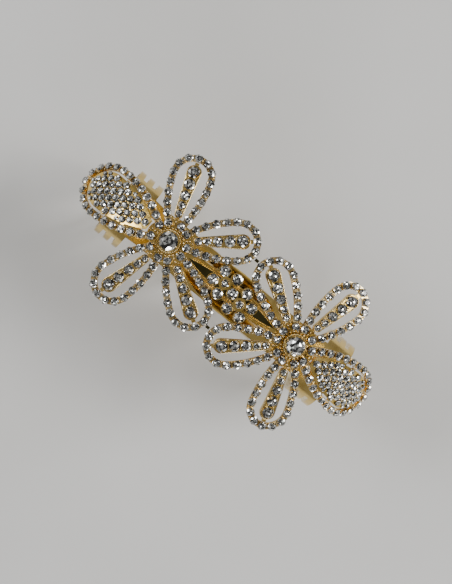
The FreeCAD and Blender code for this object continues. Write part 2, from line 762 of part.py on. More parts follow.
def jaw(name, knuckles):
    """One jaw on the +Y side: strip, finger lever, claws and knuckles."""
    span = 2 * size("jaw_half") + 2
    low = -span / 2
    shoulder = (size("shoulder_y"), size("shoulder_z"))
    bulge = shoulder[0] + size("shoulder")
    # the shoulder starts at the waist and turns down through a quarter turn
    start = math.degrees(math.acos((size("waist") - shoulder[0]) / size("shoulder")))
    top = sheet_sector(name + "_shoulder", "Sizes.shoulder", span, shoulder, 0.0, start, low)
    sweep_centre = (bulge - size("claw_sweep"), shoulder[1])
    claw = sheet_sector(name + "_claw", "Sizes.claw_sweep", span, sweep_centre, -60.0, 60.0, low)
    top_edge, end_low = "%g" % STRIP_TOP, "%g" % STRIP_END_LOW
    bend_x, bend_z = STRIP_MIDDLE
    strip_window = xz_prism(name + "_strip_view", [
        ("-1 * Sizes.jaw_half", top_edge), ("-1 * Sizes.jaw_half", end_low),
        ("%g" % -bend_x, "%g" % bend_z), ("%g" % bend_x, "%g" % bend_z),
        ("Sizes.jaw_half", end_low), ("Sizes.jaw_half", top_edge)], -1.0, JAW_REACH)
    ends = [claw_view(name + "_end_a", 1, END_CLAW, END_SLOT_TOP, 3),
            claw_view(name + "_end_b", -1, END_CLAW, END_SLOT_TOP, 3)]
    windows = fuse(name + "_views", [strip_window] + ends)
    sheets = fuse(name + "_sheets", [top, claw])
    outer = boolean("Common", name + "_outer_claws", sheets, windows)

    inner_centre = (size("inner_bulge") - size("inner_top"), INNER_BEND_Z)
    upper = sheet_sector(name + "_inner_bend", "Sizes.inner_top", span, inner_centre, 0.0,
                         INNER_BEND_SWEEP, low)
    lower_centre = (size("inner_bulge") - size("inner_sweep"), INNER_BEND_Z)
    lower = sheet_sector(name + "_inner_claw", "Sizes.inner_sweep", span, lower_centre,
                         -40.0, 40.0, low)
    inner_views = fuse(name + "_inner_views", [
        claw_view(name + "_inner_a", 1, INNER_CLAW, INNER_SLOT_TOP, 2),
        claw_view(name + "_inner_b", -1, INNER_CLAW, INNER_SLOT_TOP, 2)])
    inner_sheets = fuse(name + "_inner_sheets", [upper, lower])
    inner = boolean("Common", name + "_inner_claws", inner_sheets, inner_views)

    lever = lever_sheet(name)
    lugs = []
    for index, low_end in enumerate(knuckles):
        lugs.append(knuckle_body("%s_knuckle_%d" % (name, index + 1), low_end))
    return fuse(name + "_sheet", [outer, inner, lever] + lugs)


def lever_arc():
    """Centre, start angle and sweep of the finger lever's bend in YZ."""
    foot = Vector(size("waist") + LEVER_FOOT_OUT, size("shoulder_z") + size("shoulder") - 0.1, 0)
    head = Vector(size("lever_reach"), LEVER_HEAD_Z, 0)
    half = (head - foot).Length / 2
    middle = (head + foot) * 0.5
    across = Vector(head.y - foot.y, foot.x - head.x, 0).normalize()
    centre = middle + across * math.sqrt(size("lever_sweep") ** 2 - half ** 2)
    begin = math.degrees(math.atan2(head.y - centre.y, head.x - centre.x))
    end = math.degrees(math.atan2(foot.y - centre.y, foot.x - centre.x))
    return centre, begin, (end - begin) % 360.0


def lever_sheet(name):
    """Finger lever: a bent sheet with an oval edge in plan."""
    centre, begin, sweep = lever_arc()
    span = 2 * size("lever_half") + 2
    bent = sheet_sector(name + "_lever_bend", "Sizes.lever_sweep", span,
                        (centre.x, centre.y), begin, sweep, -span / 2)
    oval = doc.addObject("Part::Ellipse", name + "_lever_edge")
    bind(oval, MajorRadius="Sizes.lever_half", MinorRadius="Sizes.lever_reach + 0.1")
    place(oval, (0, 0, -6.0))
    prism = doc.addObject("Part::Extrusion", name + "_lever_plan")
    prism.Base = oval
    prism.DirMode = "Custom"
    prism.Dir = Z_AXIS
    prism.LengthFwd = 18.0
    prism.Solid = True
    return boolean("Common", name + "_lever", bent, prism)


def knuckle_body(name, low):
    """Ear that runs from the sheet to the hinge line."""
    wall = size("knuckle_wall")
    disc = cylinder(name + "_disc", "Sizes.knuckle", "%g mm" % wall)
    place(disc, (low, 0, 0), Y_AXIS, 90.0)
    web = box(name + "_web", (low, 0, -size("knuckle")), (low + wall, 3.0, size("knuckle")))
    return fuse(name, [disc, web])


def hinge_bore(name, radius):
    """Bore along the hinge line."""
    bore = cylinder(name, radius, "30 mm")
    return place(bore, (-15, 0, 0), Y_AXIS, 90.0)


def bracket(side, front_sheet):
    """Strap from under a hub down to the front jaw's strip."""
    across = -1.0 if side == "left" else 1.0
    x = across * size("hub_reach")
    low, high = x - BRACKET_HALF, x + BRACKET_HALF
    top = size("crown_lift") - 1.95
    flange = box(side + "_flange", (low, BRACKET_FRONT, top - 1.0), (high, BRACKET_REAR, top + 1.5))
    leg = box(side + "_leg", (low, BRACKET_FRONT, -2.1), (high, BRACKET_FRONT + BRACKET_SHEET, top))
    above = cylinder(side + "_hub_space", "9", "8 mm")
    lean = Rotation(Y_AXIS, across * size("hub_lean"))
    drop = Vector(0, 0, -size("sheet_wall") - size("hub_wall") - 0.1)
    above.Placement = Placement(Vector(x, 0, size("crown_lift")) + lean.multVec(drop), lean)
    strap = boolean("Cut", side + "_strap", fuse(side + "_strap_bars", [flange, leg]), above)
    node = boolean("Cut", side + "_bracket", strap, front_sheet)
    return keep(node, side + "_bracket", Placement(Vector(0, 0, size("claw_depth")), Rotation()))


def hinge_pin():
    """Pin along X with a peened head at each end."""
    body, sketch = sketch_body("hinge_pin", "XZ_Plane")
    left, right = "%g" % -PIN_SHOULDER, "%g" % PIN_SHOULDER
    polygon(sketch, [("-1 * Sizes.pin_half", "0"), ("Sizes.pin_half", "0"),
                     ("Sizes.pin_half", "Sizes.pin_head"), (right, "Sizes.pin_head"),
                     (right, "Sizes.pin_radius"), (left, "Sizes.pin_radius"),
                     (left, "Sizes.pin_head"), ("-1 * Sizes.pin_half", "Sizes.pin_head")])
    turned = body.newObject("PartDesign::Revolution", "pin_turn")
    turned.Profile = sketch
    turned.ReferenceAxis = (sketch, ["H_Axis"])
    turned.Angle = 360.0
    body.Tip = turned
    return keep(body, "hinge_pin", Placement(Vector(0, 0, size("claw_depth")), Rotation()))


def spring_leg_rod(name, start, lean):
    """Straight leg that leaves the coil on a tangent and leans outward."""
    rod = cylinder(name, "Sizes.coil_wire", "%g mm" % SPRING_LEG)
    outward = math.radians(lean)
    across = 1.0 if lean > 0 else -1.0
    reach = size("coil_radius")
    foot = Vector(start, across * reach * math.cos(outward), -reach * abs(math.sin(outward)))
    direction = Vector(0, math.sin(outward), math.cos(outward))
    rod.Placement = Placement(foot - direction * 0.4, Rotation(Z_AXIS, direction))
    return rod


def torsion_spring():
    """Coil round the pin with a leg behind the front lever, and the rear leg."""
    along_x = Rotation(Vector(0, 1, 0), Vector(0, 0, 1), Vector(1, 0, 0), "ZXY")
    helix = doc.addObject("Part::Helix", "coil_line")
    bind(helix, Pitch="Sizes.coil_pitch", Height="Sizes.coil_length", Radius="Sizes.coil_radius")
    wire = doc.addObject("Part::Circle", "coil_section")
    bind(wire, Radius="Sizes.coil_wire")
    place(wire, (size("coil_radius"), 0, 0), X_AXIS, 90.0)
    coil = doc.addObject("Part::Sweep", "coil")
    coil.Sections = [wire]
    coil.Spine = (helix, ["Edge1"])
    coil.Solid = True
    coil.Frenet = True
    start = Placement(Vector(0, 0, 0), Rotation(Z_AXIS, 180.0 + SPRING_LEAN))
    coil.Placement = Placement(Vector(COIL_START, 0, 0), along_x).multiply(start)
    front_leg = spring_leg_rod("front_leg", COIL_START, -SPRING_LEAN)
    spring = fuse("spring_coil", [coil, front_leg])
    up = Placement(Vector(0, 0, size("claw_depth")), Rotation())
    keep(spring, "spring_coil", up)
    last = COIL_START + size("coil_length") + size("coil_pitch") + 0.05
    ring = doc.addObject("Part::Torus", "last_turn")
    bind(ring, Radius1="Sizes.coil_radius", Radius2="Sizes.coil_wire")
    place(ring, (last, 0, 0), Y_AXIS, 90.0)
    rear_leg = spring_leg_rod("rear_leg", last, SPRING_LEAN)
    keep(fuse("spring_leg", [ring, rear_leg]), "spring_leg", up)


open_shell = dome_shell("open_dome", "Sizes.petal_dome", "0", "Sizes.sheet_wall")
wide_shell = dome_shell("wide_dome", "Sizes.pave_dome", "Sizes.pave_rise", "Sizes.sheet_wall")
hub_shell = dome_shell("hub_dome", "Sizes.petal_dome - Sizes.sheet_wall", "-1 * Sizes.sheet_wall",
                       "Sizes.hub_wall")
doc.recompute()
open_blank = open_petal_blank()
wide_blank = wide_petal_blank()
drop_shape = drop_blank()
pave_plate_blank = paved_blank(wide_blank)
stone = stone_master()

crown_height = size("claw_depth") + size("crown_lift") + SPINE_DROP
for side in ("left", "right"):
    flower(side, stone)
spine(crown_height)
cluster(stone, crown_height)
for number, side in enumerate(("right", "left"), start=1):
    link_bar("link_bar_%d" % number, side)

to_hinge = Placement(Vector(0, 0, size("claw_depth")), Rotation())
rear = boolean("Cut", "rear_jaw", jaw("rear", REAR_KNUCKLES),
               hinge_bore("rear_bore", "Sizes.pin_radius + Sizes.running_gap"))
keep(rear, "rear_jaw", to_hinge)
front_sheet = boolean("Cut", "front_jaw_sheet", jaw("front", FRONT_KNUCKLES),
                      hinge_bore("front_bore", "Sizes.pin_radius + 0.02"))
front_sheet.Placement = Placement(Vector(0, 0, 0), Rotation(Z_AXIS, 180.0))
for side in ("left", "right"):
    bracket(side, front_sheet)
front = doc.addObject("Part::Compound", "front_jaw")
front.Links = [front_sheet]
keep(front, "front_jaw", to_hinge)
hinge_pin()
torsion_spring()

doc.recompute()

# ---------------------------------------------------------------- output

problems = []
for thing in doc.Objects:
    if "Invalid" in thing.State or "Error" in thing.State:
        problems.append("%s is %s" % (thing.Name, thing.State))
for name, thing in nodes:
    shape = thing.Shape
    if shape.isNull() or not shape.isValid() or not shape.Solids:
        problems.append("%s has a bad shape" % name)
if problems:
    raise RuntimeError("; ".join(problems))

os.makedirs("parts", exist_ok=True)
for name, thing in nodes:
    thing.Shape.exportStep("parts/%s.step" % name)
print("%d nodes" % len(nodes))
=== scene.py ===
import math

import bpy
from mathutils import Matrix, Vector


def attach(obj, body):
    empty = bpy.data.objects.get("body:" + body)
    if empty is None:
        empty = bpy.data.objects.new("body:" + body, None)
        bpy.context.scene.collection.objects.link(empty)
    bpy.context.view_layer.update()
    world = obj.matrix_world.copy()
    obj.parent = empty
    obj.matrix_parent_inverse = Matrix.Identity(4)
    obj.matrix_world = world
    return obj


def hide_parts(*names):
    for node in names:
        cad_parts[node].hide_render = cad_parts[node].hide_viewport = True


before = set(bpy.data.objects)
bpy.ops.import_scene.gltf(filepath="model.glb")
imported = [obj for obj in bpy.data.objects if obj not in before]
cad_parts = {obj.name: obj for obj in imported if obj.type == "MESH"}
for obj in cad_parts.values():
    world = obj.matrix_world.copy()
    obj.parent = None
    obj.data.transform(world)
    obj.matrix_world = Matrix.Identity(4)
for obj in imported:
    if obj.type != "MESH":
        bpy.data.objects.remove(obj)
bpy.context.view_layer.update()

# Rhinestone hair clip. Shapes are worked out in millimetres, in the frame of
# the CAD part, and turned into metres when a piece is made.

ORNAMENT = "front_jaw_and_ornament"
MM = 0.001

# The flowers
HUB_HEIGHT = 45.0
HUB_REACH = 23.75
HUB_LEAN = 10.0
PETAL_ANGLES = [0.0, 74.7, 146.6, 219.5, 290.0]
ROOT_X = 5.1
ROOT_Y = 1.96
OPEN_PETAL = {"half": 5.66, "nose": 5.66, "tip": 25.7, "dome": 150.0, "rise": 0.0, "count": 17}
WIDE_PETAL = {"half": 7.7, "nose": 8.0, "tip": 32.2, "dome": 43.0, "rise": 0.6, "count": 24}
DROP_STONES = [(8.6, 1.05), (11.1, 1.25), (14.2, 1.55), (17.65, 1.7), (21.3, 1.8)]
DROP_ROOT = (8.5, 1.3)
DROP_END = (21.4, 2.25)
PAVE_STONE = 1.12
PAVE_FILLER = 0.75
PAVE_SPACING = 0.16
FILLER_GAP = 0.08
PAVE_START = 9.0
STRIP_EDGE = 1.25
PAVE_GAP = 0.45
PAVE_INSET = STRIP_EDGE + PAVE_GAP
CENTRE_STONE = 2.95
BEZEL_TOP = 0.55
HUB_LOBE = 7.3
HUB_NOTCH = 5.6
HUB_TOP = -1.02
HUB_WALL = 0.76
RING_BEADS = 22
RING_BEAD = 0.44
RING_REACH = 4.06
ROOT_BEADS = [(5.1, 0.0, 0.4), (6.1, 0.0, 0.45), (6.9, 7.0, 0.34), (6.9, -7.0, 0.34)]

# The middle
CROWN_HEIGHT = 45.53
CLUSTER_STONE = 1.74
CHAIN_STONE = 1.3
CLUSTER_REACH = 3.7
CLUSTER_TURN = 164.0
SPINE_ARCH = 106.0
LENS_HALF = 1.8
LENS_END = 16.3

# Stone settings: each crystal nearly fills its seat, over a slightly
# narrower cup, so nothing passes the seat's own radius
CRYSTAL_SHARE = 0.99
CUP_SHARE = 0.95
DROP_SHARE = 0.985
PAVING_SHARE = 0.97
CENTRE_SHARE = 0.97
CLUSTER_SHARE = 0.96

# A brilliant-cut crown: (share of the stone's radius, height in radii) of
# each ring of corners
FOOT_RING = (0.76, 0.0)
GIRDLE_LOW = (0.985, 0.32)
GIRDLE_HIGH = (0.985, 0.38)
MIDDLE_RING = (0.79, 0.582)
TABLE_RING = (0.56, 0.72)
CORE_RING = (0.3, 0.72)

# Prongs, in shares of the radius of the stone that they hold
PRONG_REACH = 0.97
PRONG_FOOT = 0.1
PRONG_LENGTH = 0.52
PRONG_LEAN = 14.0

# The cup chain
STRIP_HALF = 1.0
STRIP_LOW = -1.0
STRIP_HIGH = -0.35
STRIP_STRIDE = 3
CHAIN_PRONG = 0.13
LINK_BEAD = 0.25
LINK_ACROSS = 0.85
LINK_LIFT = 0.1

# The inner drops and the paved plates
RIM_WIRE = 0.2
DROP_PRONG = 0.12
DROP_BEAD = 0.24
DROP_BEAD_LIFT = 0.12
PAVE_BEAD = 0.3
PAVE_BEAD_LIFT = 0.22
ROW_STEP = 0.866
EDGE_SLACK = 0.12
SEAT_INSET_SHARE = 0.9
ROW_END_SHARE = 0.9
ROW_NOSE_SHARE = 0.8
FILLER_NOSE_SHARE = 0.85
BEAD_GAP_SPAN = 2.3

# The flower centres
LOBE_SPREAD = 37.0
LOBE_SHARPNESS = 0.7
HUB_BEVEL = 0.2
HUB_BEVEL_SHARE = 0.97
CENTRE_PRONG = (0.26, 2.1)
CENTRE_PRONG_GAP = 0.2
CENTRE_PRONG_DROP = -0.5
CENTRE_PRONG_LEAN = 10.0
BEZEL_BEAD = 0.22
BEZEL_BEAD_REACH = 3.32
RING_DROP = -0.62
ROOT_DROP = -0.85

# The cluster and the spine's trim
CLUSTER_LIFT = 1.0
CLUSTER_PRONG = 0.17
CLUSTER_PRONG_SHARE = 1.08
CLUSTER_PRONG_START = 0.3
TRIM_WIRE = 0.2
TRIM_WIRE_GAP = 0.85
TRIM_WIRE_STEP = 0.5
TRIM_BEAD = 0.24
TRIM_BEAD_GAP = 0.25
TRIM_BEAD_STEP = 0.62

# Crease angles, in degrees, above which an edge stays sharp
CHAIN_CREASE = 40
PRONG_CREASE = 50
BEAD_CREASE = 60
PLATE_CREASE = 30


# ---------------------------------------------------------------- mesh code

class Shape:
    """Points and faces of one piece, in millimetres."""

    def __init__(self):
        self.points = []
        self.faces = []

    def add(self, points, faces, place):
        """Add a group of faces, moved by a matrix."""
        start = len(self.points)
        self.points += [place @ Vector(p) for p in points]
        self.faces += [[start + i for i in face] for face in faces]

    def piece(self, name, material, smooth_angle=None, replaces=(), body=ORNAMENT):
        """Make the object, in metres, riding on its body."""
        mesh = bpy.data.meshes.new(name)
        mesh.from_pydata([p * MM for p in self.points], [], self.faces)
        mesh.validate()
        if smooth_angle is not None:
            mesh.shade_smooth()
            mesh.set_sharp_from_angle(angle=math.radians(smooth_angle))
        mesh.materials.append(material)
        made = bpy.data.objects.new(name, mesh)
        bpy.context.scene.collection.objects.link(made)
        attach(made, body)
        if replaces:
            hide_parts(*replaces)
        return made


def turned(profile, segments):
    """Points and faces of a profile of (radius, height) turned about Z."""
    points = []
    faces = []
    for radius, height in profile:
        for k in range(segments):
            turn = 2 * math.pi * k / segments
            points.append((radius * math.cos(turn), radius * math.sin(turn), height))
    for row in range(len(profile) - 1):
        for k in range(segments):
            after = (k + 1) % segments
            low = row * segments
            high = low + segments
            faces.append([low + k, low + after, high + after, high + k])
    faces.append(list(range(segments))[::-1])
    top = (len(profile) - 1) * segments
    faces.append([top + k for k in range(segments)])
    return points, faces


def bead_shape(radius, segments=8, rings=5):
    """Small ball, as a turned profile."""
    profile = []
    for i in range(rings + 1):
        turn = math.pi * (0.06 + 0.88 * i / rings)
        profile.append((radius * math.sin(turn), -radius * math.cos(turn)))
    return turned(profile, segments)


def prong_shape(radius, length):
    """Peg with a rounded head, its foot at the origin."""
    profile = [(radius * 1.15, 0.0), (radius, length * 0.45), (radius, length * 0.75),
               (radius * 0.72, length * 0.92), (radius * 0.3, length)]
    return turned(profile, 8)


def cut_stone(radius):
    """Facets of a brilliant-cut crown; each facet has its own points."""
    def ring(count, share, height, offset=0.0):
        spots = []
        for k in range(count):
            turn = 2 * math.pi * (k + offset) / count
            spots.append((radius * share * math.cos(turn), radius * share * math.sin(turn),
                          radius * height))
        return spots

    foot = ring(16, *FOOT_RING)
    girdle_low = ring(16, *GIRDLE_LOW)
    girdle = ring(16, *GIRDLE_HIGH)
    middle = ring(8, *MIDDLE_RING, 0.5)
    table = ring(8, *TABLE_RING)
    core = ring(8, *CORE_RING, 0.5)
    centre = (0.0, 0.0, radius * TABLE_RING[1])
    facets = []
    for k in range(8):
        after = (k + 1) % 8
        even, odd, end = 2 * k, 2 * k + 1, (2 * k + 2) % 16
        facets.append([table[k], middle[k], table[after]])
        facets.append([table[k], middle[k - 1], girdle[even], middle[k]])
        facets.append([middle[k], girdle[even], girdle[odd]])
        facets.append([middle[k], girdle[odd], girdle[end]])
        facets.append([table[k], table[after], core[k]])
        facets.append([table[k], core[k], core[k - 1]])
        facets.append([core[k], core[k - 1], centre])
    for k in range(16):
        after = (k + 1) % 16
        facets.append([girdle[k], girdle_low[k], girdle_low[after], girdle[after]])
        facets.append([girdle_low[k], foot[k], foot[after], girdle_low[after]])
    points = []
    faces = []
    for facet in facets:
        start = len(points)
        points += facet
        faces.append(list(range(start, start + len(facet))))
    return points, faces


def seat_matrix(spot, normal):
    """Frame with its Z along a seat's normal."""
    turn = Vector((0, 0, 1)).rotation_difference(normal)
    return Matrix.Translation(spot) @ turn.to_matrix().to_4x4()


def aligned_matrix(spot, normal, along):
    """Frame with Z along the normal and X along a tangent."""
    side = normal.cross(along).normalized()
    forward = side.cross(normal).normalized()
    frame_axes = Matrix((forward, side, normal)).transposed().to_4x4()
    return Matrix.Translation(spot) @ frame_axes


def add_ribbon(shape, line, half_width, low, high, place):
    """Strip of rectangular section along (point, normal) stations."""
    points = []
    faces = []
    for i, (spot, normal) in enumerate(line):
        before = line[max(i - 1, 0)][0]
        after = line[min(i + 1, len(line) - 1)][0]
        side = normal.cross(after - before).normalized()
        for across, up in ((-1, low), (1, low), (1, high), (-1, high)):
            points.append(spot + side * half_width * across + normal * up)
    for i in range(len(line) - 1):
        for k in range(4):
            after = (k + 1) % 4
            faces.append([4 * i + k, 4 * i + after, 4 * i + 4 + after, 4 * i + 4 + k])
    last = 4 * (len(line) - 1)
    faces.append([3, 2, 1, 0])
    faces.append([last, last + 1, last + 2, last + 3])
    shape.add(points, faces, place)


def add_wire(shape, line, radius, place, closed=False, sides=8):
    """Round wire along (point, normal) stations."""
    points = []
    faces = []
    count = len(line)
    for i, (spot, normal) in enumerate(line):
        if closed:
            before, after = line[i - 1][0], line[(i + 1) % count][0]
        else:
            before, after = line[max(i - 1, 0)][0], line[min(i + 1, count - 1)][0]
        side = normal.cross(after - before).normalized()
        for k in range(sides):
            turn = 2 * math.pi * k / sides
            points.append(spot + (side * math.cos(turn) + normal * math.sin(turn)) * radius)
    spans = count if closed else count - 1
    for i in range(spans):
        ahead = (i + 1) % count
        for k in range(sides):
            after = (k + 1) % sides
            faces.append([sides * i + k, sides * ahead + k,
                          sides * ahead + after, sides * i + after])
    if not closed:
        faces.append(list(range(sides)))
        faces.append([sides * (count - 1) + k for k in range(sides)][::-1])
    shape.add(points, faces, place)


# ---------------------------------------------------------------- petals

def hub_matrix(side):
    """Frame of one flower, at its hub and leaning outward."""
    right = Matrix.Translation((HUB_REACH, 0, HUB_HEIGHT))
    right = right @ Matrix.Rotation(math.radians(HUB_LEAN), 4, "Y")
    if side == "right":
        return right
    return Matrix.Rotation(math.pi, 4, "Z") @ right


def petal_matrix(side, angle):
    """Frame of one petal, its length along local X."""
    return hub_matrix(side) @ Matrix.Rotation(math.radians(angle), 4, "Z")


def dome_seat(x, y, petal):
    """Point and outward normal of a petal's dome above x, y."""
    dome, rise = petal["dome"], petal["rise"]
    spot = Vector((x, y, rise - dome + math.sqrt(dome ** 2 - x * x - y * y)))
    return spot, (spot - Vector((0, 0, rise - dome))).normalized()


def side_radius(petal):
    """Radius of a petal's side, tangent to its rounded end."""
    run = petal["tip"] - petal["nose"] - ROOT_X
    rise = petal["half"] - ROOT_Y
    return (run * run + rise * rise) / (2.0 * rise)


def petal_stations(petal):
    """Close stations along a petal's line of stones."""
    bend = side_radius(petal)
    middle = petal["tip"] - petal["nose"]
    flat = []
    for i in range(61):
        x = ROOT_X + (middle - ROOT_X) * i / 60.0
        flat.append((x, petal["half"] - bend + math.sqrt(bend ** 2 - (middle - x) ** 2)))
    for i in range(1, 91):
        turn = math.radians(i)
        flat.append((middle + petal["nose"] * math.sin(turn), petal["half"] * math.cos(turn)))
    flat += [(x, -y) for x, y in reversed(flat[:-1])]
    return [dome_seat(x, y, petal) for x, y in flat]


def petal_seats(petal):
    """Stone seats at equal steps along a petal, with their tangents."""
    line = petal_stations(petal)
    lengths = [0.0]
    for (a, _), (b, _) in zip(line, line[1:]):
        lengths.append(lengths[-1] + (b - a).length)
    seats = []
    j = 0
    for k in range(petal["count"]):
        goal = lengths[-1] * k / (petal["count"] - 1)
        while j < len(line) - 2 and lengths[j + 1] < goal:
            j += 1
        part = (goal - lengths[j]) / (lengths[j + 1] - lengths[j])
        spot = line[j][0].lerp(line[j + 1][0], part)
        normal = line[j][1].lerp(line[j + 1][1], part).normalized()
        seats.append((spot, normal, line[j + 1][0] - line[j][0]))
    return seats


def add_cup(shape, place, radius):
    """Cup round a stone, open at the top, its foot in the strip."""
    outer = radius * CUP_SHARE
    profile = [(outer * 0.8, -0.6), (outer * 0.9, -0.2), (outer, 0.05), (outer, 0.3 * radius),
               (outer * 0.9, 0.3 * radius)]
    shape.add(*turned(profile, 20), place)


def add_prongs(shape, place, radius, count, thickness, start=0.0):
    """Prongs that lean over a stone's crown."""
    for k in range(count):
        turn = start + 2 * math.pi * k / count
        foot = Matrix.Translation((radius * PRONG_REACH - thickness, 0, PRONG_FOOT * radius))
        lean = Matrix.Rotation(math.radians(-PRONG_LEAN), 4, "Y")
        peg = prong_shape(thickness, PRONG_LENGTH * radius)
        shape.add(*peg, place @ Matrix.Rotation(turn, 4, "Z") @ foot @ lean)


def chain(label, petal, place, gold, crystal):
    """Cup chain and crystals round one petal."""
    setting = Shape()
    stones = Shape()
    seats = petal_seats(petal)
    line = petal_stations(petal)[::STRIP_STRIDE]
    add_ribbon(setting, line, STRIP_HALF, STRIP_LOW, STRIP_HIGH, place)
    for spot, normal, along in seats:
        here = place @ aligned_matrix(spot, normal, along)
        add_cup(setting, here, CHAIN_STONE)
        add_prongs(setting, here, CHAIN_STONE, 4, CHAIN_PRONG, math.pi / 4)
        stones.add(*cut_stone(CHAIN_STONE * CRYSTAL_SHARE), here)
    for (a, up, along), (b, _, _) in zip(seats, seats[1:]):
        link = place @ aligned_matrix((a + b) / 2, up, along)
        for across in (-LINK_ACROSS, LINK_ACROSS):
            bead = Matrix.Translation((0, across, LINK_LIFT))
            setting.add(*bead_shape(LINK_BEAD), link @ bead)
    setting.piece(label + "_cup_chain", gold, CHAIN_CREASE, [label + "_frame"])
    stones.piece(label + "_crystals", crystal, None, [label + "_stones"])


def drop_outline(inset):
    """Stations round an inner drop, a little inside its edge."""
    (near, small), (far, large) = DROP_ROOT, DROP_END
    lean = math.acos((small - large) / (far - near))
    flat = []
    steps = 16
    for i in range(steps + 1):
        turn = -lean + 2 * lean * i / steps
        flat.append((far + (large - inset) * math.cos(turn), (large - inset) * math.sin(turn)))
    for i in range(steps + 1):
        turn = lean + (2 * math.pi - 2 * lean) * i / steps
        flat.append((near + (small - inset) * math.cos(turn), (small - inset) * math.sin(turn)))
    return [dome_seat(x, y, OPEN_PETAL) for x, y in flat]


def drop(label, place, gold, crystal):
    """Rim, beads and crystals of an inner drop, on its CAD plate."""
    rim = Shape()
    stones = Shape()
    add_wire(rim, drop_outline(RIM_WIRE), RIM_WIRE, place, closed=True)
    for reach, radius in DROP_STONES:
        here = place @ seat_matrix(*dome_seat(reach, 0, OPEN_PETAL))
        add_prongs(rim, here, radius, 4, DROP_PRONG, math.pi / 4)
        stones.add(*cut_stone(radius * DROP_SHARE), here)
    for (a, ra), (b, rb) in zip(DROP_STONES, DROP_STONES[1:]):
        reach = (a + ra + b - rb) / 2
        across = 0.45 * (ra + rb) / 2 + 0.2
        for y in (-across, across):
            here = place @ seat_matrix(*dome_seat(reach, y, OPEN_PETAL))
            rim.add(*bead_shape(DROP_BEAD), here @ Matrix.Translation((0, 0, DROP_BEAD_LIFT)))
    rim.piece(label + "_drop_rim", gold, PRONG_CREASE)
    stones.piece(label + "_drop_crystals", crystal, None, [label + "_drop_stones"])


def paving_seats():
    """Plan positions of the paving stones, in rows across the wide petal."""
    petal = WIDE_PETAL
    inset = PAVE_INSET + SEAT_INSET_SHARE * PAVE_STONE
    bend = side_radius(petal)
    middle = petal["tip"] - petal["nose"]
    pitch = 2 * PAVE_STONE + PAVE_SPACING
    spots = []
    arc = PAVE_START
    row = 0
    while True:
        x = petal["dome"] * math.sin(arc / petal["dome"])
        if x > petal["tip"] - inset * ROW_END_SHARE:
            break
        if x < middle:
            room = petal["half"] - bend + math.sqrt((bend - inset) ** 2 - (middle - x) ** 2)
        else:
            share = (x - middle) / (petal["nose"] - inset * ROW_NOSE_SHARE)
            room = (petal["half"] - inset) * math.sqrt(max(0.0, 1 - share ** 2))
        offset = 0.5 * pitch * (row % 2)
        if room >= 0.0 and room + EDGE_SLACK >= offset:
            steps = int((room + EDGE_SLACK - offset) / pitch)
            lateral = [offset + pitch * i for i in range(steps + 1)]
            lateral += [-y for y in lateral if y > 0]
            spots += [(x, y, PAVE_STONE) for y in lateral]
        arc += pitch * ROW_STEP
        row += 1
    return spots + edge_fillers(spots)


def edge_fillers(spots):
    """Small stones along the paved plate's edge, where the rows leave room."""
    petal = WIDE_PETAL
    inset = PAVE_INSET + SEAT_INSET_SHARE * PAVE_FILLER
    bend = side_radius(petal)
    middle = petal["tip"] - petal["nose"]
    edge = []
    for i in range(120):
        x = PAVE_START + (middle - PAVE_START) * i / 120.0
        room = petal["half"] - bend + math.sqrt((bend - inset) ** 2 - (middle - x) ** 2)
        edge.append((x, room))
    for i in range(91):
        turn = math.radians(i)
        nose = petal["nose"] - inset * FILLER_NOSE_SHARE
        edge.append((middle + nose * math.sin(turn), (petal["half"] - inset) * math.cos(turn)))
    fillers = []
    for x, y in edge:
        for across in (y, -y):
            spot = dome_seat(x, across, petal)[0]
            taken = [(spot - dome_seat(a, b, petal)[0]).length < PAVE_FILLER + wide + FILLER_GAP
                     for a, b, wide in spots + fillers]
            if not any(taken):
                fillers.append((x, across, PAVE_FILLER))
    return fillers


def paving_beads(spots):
    """Gaps between three paving stones, where the beads go."""
    gaps = []
    for i, a in enumerate(spots):
        for j in range(i + 1, len(spots)):
            for k in range(j + 1, len(spots)):
                trio = (a, spots[j], spots[k])
                sides = [math.dist(trio[m], trio[m - 1]) for m in range(3)]
                if max(sides) < BEAD_GAP_SPAN * PAVE_STONE + PAVE_SPACING:
                    gaps.append((sum(p[0] for p in trio) / 3, sum(p[1] for p in trio) / 3))
    return gaps


def paving(side, place, gold, crystal):
    """Crystals and beads on the wide petal's paved plate."""
    beads = Shape()
    stones = Shape()
    spots = paving_seats()
    for x, y, radius in spots:
        here = place @ seat_matrix(*dome_seat(x, y, WIDE_PETAL))
        stones.add(*cut_stone(radius * PAVING_SHARE), here)
    for x, y in paving_beads([(x, y) for x, y, radius in spots if radius == PAVE_STONE]):
        here = place @ seat_matrix(*dome_seat(x, y, WIDE_PETAL))
        beads.add(*bead_shape(PAVE_BEAD), here @ Matrix.Translation((0, 0, PAVE_BEAD_LIFT)))
    beads.piece("%s_paving_beads" % side, gold, BEAD_CREASE)
    stones.piece("%s_paving_crystals" % side, crystal, None,
                 ["%s_paving_stones" % side])


